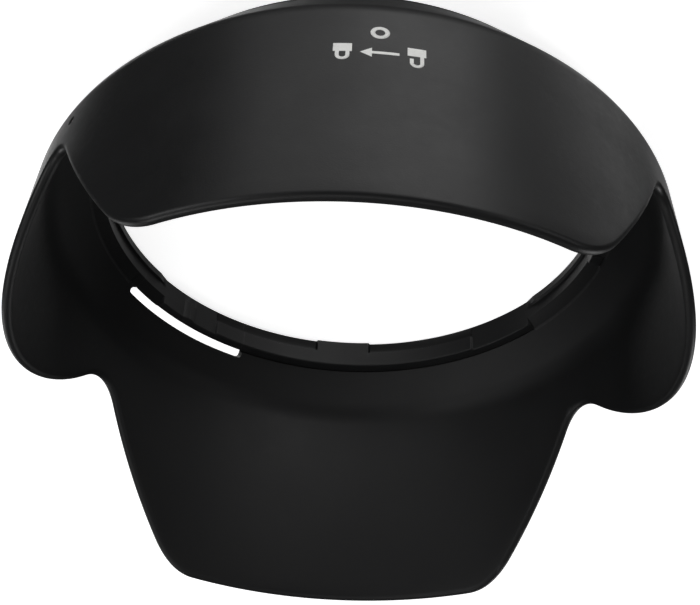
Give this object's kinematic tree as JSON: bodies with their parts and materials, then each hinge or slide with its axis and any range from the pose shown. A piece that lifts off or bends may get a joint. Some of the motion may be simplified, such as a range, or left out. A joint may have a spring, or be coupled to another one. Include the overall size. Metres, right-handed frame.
{
  "type": "petal lens hood",
  "caption": "Black petal-shaped bayonet lens hood: two long and two short petals, a sloping shoulder and a rear bayonet ring with sprung detents and white index marks.",
  "frame": {"origin": "centre of the rear mounting face, on the optical axis", "axes": "+Z forward along the optical axis, towards the petals; +Y and -Y through the long petals, with the marks on -Y; +X and -X through the short petals"},
  "size_m": [0.0936, 0.0954, 0.0437],
  "materials": {
    "black_plastic": "fine matte texture, slightly satin outside",
    "white_paint": "matte filled paint"
  },
  "bodies": {
    "hood": {"hood_shell": "black_plastic", "bayonet_ring": "black_plastic", "lock_mark": "white_paint", "turn_and_lock_symbol": "white_paint", "mounting_mark": "white_paint"},
    "spring_right": {"detent_spring_right": "black_plastic"},
    "spring_left": {"detent_spring_left": "black_plastic"}
  },
  "joints": [
    {"name": "right_spring_flex", "type": "slide", "parent": "hood", "child": "spring_right", "axis": [0.6959, 0.7181, 0], "range_m": [0, 0.0004]},
    {"name": "left_spring_flex", "type": "slide", "parent": "hood", "child": "spring_left", "axis": [-0.6959, -0.7181, 0], "range_m": [0, 0.0004]}
  ]
}
